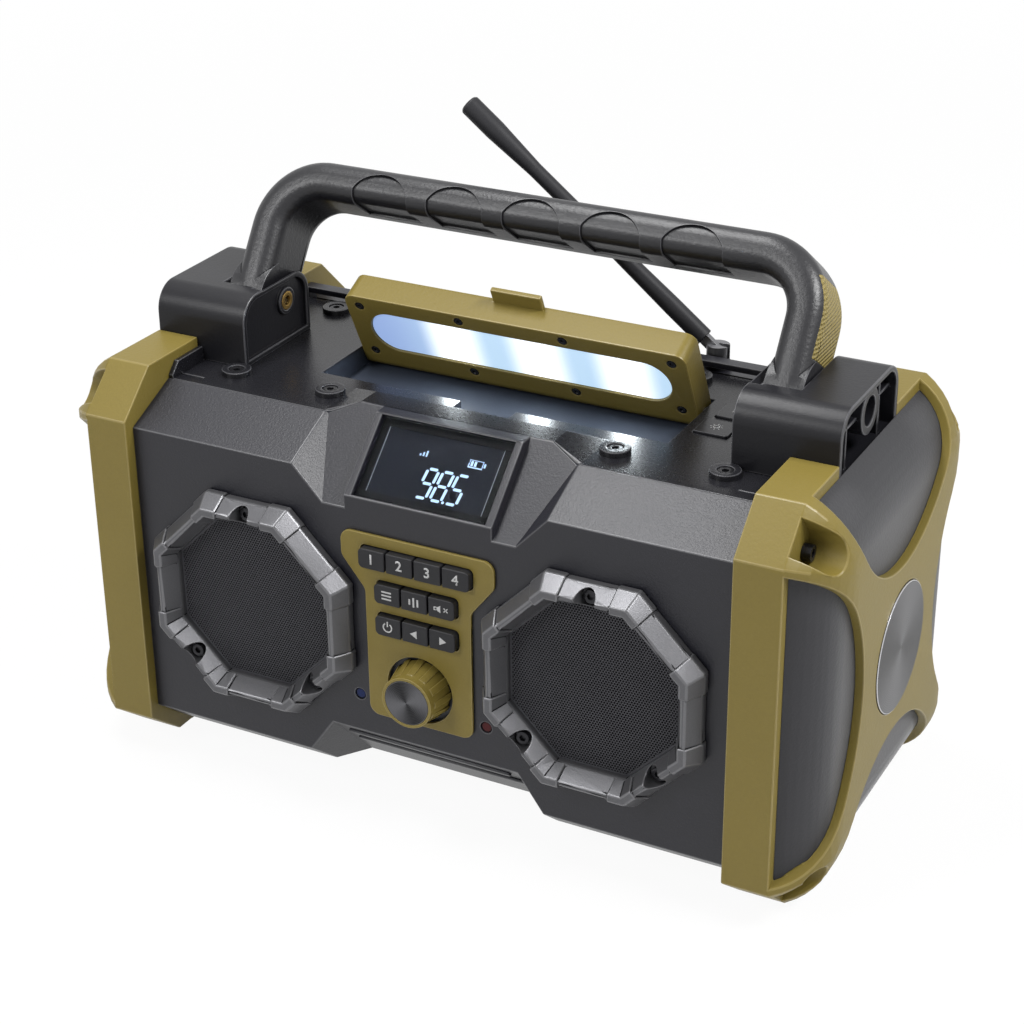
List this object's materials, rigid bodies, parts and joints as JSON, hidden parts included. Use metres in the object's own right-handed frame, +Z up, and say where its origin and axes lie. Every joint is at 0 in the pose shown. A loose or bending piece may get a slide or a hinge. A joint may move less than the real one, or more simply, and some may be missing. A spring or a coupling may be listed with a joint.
{
  "type": "jobsite bluetooth speaker",
  "caption": "Rugged jobsite speaker with octagonal speaker bezels, a sloped display, keys, a folding lamp, a tilting carry handle and a hinged antenna.",
  "frame": {"origin": "on the ground below the middle of the part's box", "axes": "+X along the handle to the right of someone facing the front, +Y from the front to the rear, +Z up"},
  "size_m": [0.359, 0.188, 0.2782],
  "materials": {
    "olive_plastic": "fine matt grain",
    "black_plastic": "fine matt grain",
    "satin_plastic": "satin",
    "soft_grey": "soft touch",
    "spun_steel": "spun",
    "dark_screw": "blackened",
    "gunmetal": "satin metallic paint",
    "grille_metal": "matt paint",
    "driver_metal": "matt paint",
    "cone_paper": "woven paper",
    "key_rubber": "soft matt",
    "board_green": "solder mask",
    "knob_metal": "spun",
    "bright_steel": "turned",
    "window_glass": "polished",
    "display_black": "polished",
    "blue_lens": "polished",
    "red_lens": "polished",
    "lamp_white": "frosted",
    "insert_brass": "turned",
    "antenna_rubber": "soft matt",
    "battery_wrap": "shrink film"
  },
  "bodies": {
    "cabinet": {"front_shell": "black_plastic", "rear_shell": "black_plastic", "top_panel": "satin_plastic", "end_frame_left": "olive_plastic", "end_frame_right": "olive_plastic", "end_panel_left": "soft_grey", "end_panel_right": "soft_grey", "end_disc_left": "spun_steel", "end_disc_right": "spun_steel", "end_screws": "dark_screw", "speaker_bezel_left": "gunmetal", "speaker_bezel_right": "gunmetal", "bezel_screws": "dark_screw", "grille_left": "grille_metal", "grille_right": "grille_metal", "driver_left": "driver_metal", "driver_right": "driver_metal", "cone_left": "cone_paper", "cone_right": "cone_paper", "control_plate": "olive_plastic", "key_board": "board_green", "encoder": "bright_steel", "display_window": "window_glass", "display_module": "display_black", "indicator_left": "blue_lens", "indicator_right": "red_lens", "lamp_pins": "bright_steel", "top_screws": "dark_screw", "bracket_left": "black_plastic", "bracket_right": "black_plastic", "pivot_bolts": "bright_steel", "brass_inserts": "insert_brass", "antenna_base": "bright_steel", "rubber_feet": "antenna_rubber", "battery_pack": "battery_wrap", "main_board": "board_green"},
    "handle": {"handle": "black_plastic", "handle_pads": "olive_plastic"},
    "lamp": {"lamp_housing": "olive_plastic", "lamp_diffuser": "lamp_white", "lamp_board": "lamp_white", "lamp_screws": "bright_steel"},
    "antenna_fork": {"antenna_knuckle": "bright_steel"},
    "antenna": {"antenna_tongue": "bright_steel", "antenna_rod": "antenna_rubber"},
    "knob": {"volume_knob": "olive_plastic", "knob_cap": "knob_metal", "encoder_shaft": "bright_steel"},
    "key_1_cap": {"key_1": "key_rubber"},
    "key_2_cap": {"key_2": "key_rubber"},
    "key_3_cap": {"key_3": "key_rubber"},
    "key_4_cap": {"key_4": "key_rubber"},
    "key_mode_cap": {"key_mode": "key_rubber"},
    "key_tone_cap": {"key_tone": "key_rubber"},
    "key_mute_cap": {"key_mute": "key_rubber"},
    "key_power_cap": {"key_power": "key_rubber"},
    "key_back_cap": {"key_back": "key_rubber"},
    "key_forward_cap": {"key_forward": "key_rubber"},
    "lamp_key_cap": {"lamp_key": "satin_plastic"},
    "scan_key_cap": {"scan_key": "satin_plastic"}
  },
  "joints": [
    {"name": "handle_tilt", "type": "hinge", "parent": "cabinet", "child": "handle", "pos_m": [0, 0.006, 0.194], "axis": [1, 0, 0], "range_deg": [0, 34]},
    {"name": "lamp_hinge", "type": "hinge", "parent": "cabinet", "child": "lamp", "pos_m": [0, 0.0227, 0.17205], "axis": [-1, 0, 0], "range_deg": [-64, 28]},
    {"name": "antenna_swivel", "type": "hinge", "parent": "cabinet", "child": "antenna_fork", "pos_m": [0.067, 0.07, 0.179], "axis": [0, 0, -1], "range_deg": [0, 110]},
    {"name": "antenna_tilt", "type": "hinge", "parent": "antenna_fork", "child": "antenna", "pos_m": [0.067, 0.07, 0.179], "axis": [0, 1, 0], "range_deg": [-37, 52]},
    {"name": "knob_turn", "type": "hinge", "parent": "cabinet", "child": "knob", "pos_m": [0, -0.081, 0.0695], "axis": [0, -1, 0], "continuous": true},
    {"name": "key_1_press", "type": "slide", "parent": "cabinet", "child": "key_1_cap", "axis": [0, 1, 0], "range_m": [0, 0.001], "stiffness_N_per_m": 400},
    {"name": "key_2_press", "type": "slide", "parent": "cabinet", "child": "key_2_cap", "axis": [0, 1, 0], "range_m": [0, 0.001], "stiffness_N_per_m": 400},
    {"name": "key_3_press", "type": "slide", "parent": "cabinet", "child": "key_3_cap", "axis": [0, 1, 0], "range_m": [0, 0.001], "stiffness_N_per_m": 400},
    {"name": "key_4_press", "type": "slide", "parent": "cabinet", "child": "key_4_cap", "axis": [0, 1, 0], "range_m": [0, 0.001], "stiffness_N_per_m": 400},
    {"name": "key_mode_press", "type": "slide", "parent": "cabinet", "child": "key_mode_cap", "axis": [0, 1, 0], "range_m": [0, 0.001], "stiffness_N_per_m": 400},
    {"name": "key_tone_press", "type": "slide", "parent": "cabinet", "child": "key_tone_cap", "axis": [0, 1, 0], "range_m": [0, 0.001], "stiffness_N_per_m": 400},
    {"name": "key_mute_press", "type": "slide", "parent": "cabinet", "child": "key_mute_cap", "axis": [0, 1, 0], "range_m": [0, 0.001], "stiffness_N_per_m": 400},
    {"name": "key_power_press", "type": "slide", "parent": "cabinet", "child": "key_power_cap", "axis": [0, 1, 0], "range_m": [0, 0.001], "stiffness_N_per_m": 400},
    {"name": "key_back_press", "type": "slide", "parent": "cabinet", "child": "key_back_cap", "axis": [0, 1, 0], "range_m": [0, 0.001], "stiffness_N_per_m": 400},
    {"name": "key_forward_press", "type": "slide", "parent": "cabinet", "child": "key_forward_cap", "axis": [0, 1, 0], "range_m": [0, 0.001], "stiffness_N_per_m": 400},
    {"name": "lamp_key_press", "type": "slide", "parent": "cabinet", "child": "lamp_key_cap", "axis": [0, 0, -1], "range_m": [0, 0.0008], "stiffness_N_per_m": 400},
    {"name": "scan_key_press", "type": "slide", "parent": "cabinet", "child": "scan_key_cap", "axis": [0, 0, -1], "range_m": [0, 0.0008], "stiffness_N_per_m": 400}
  ]
}
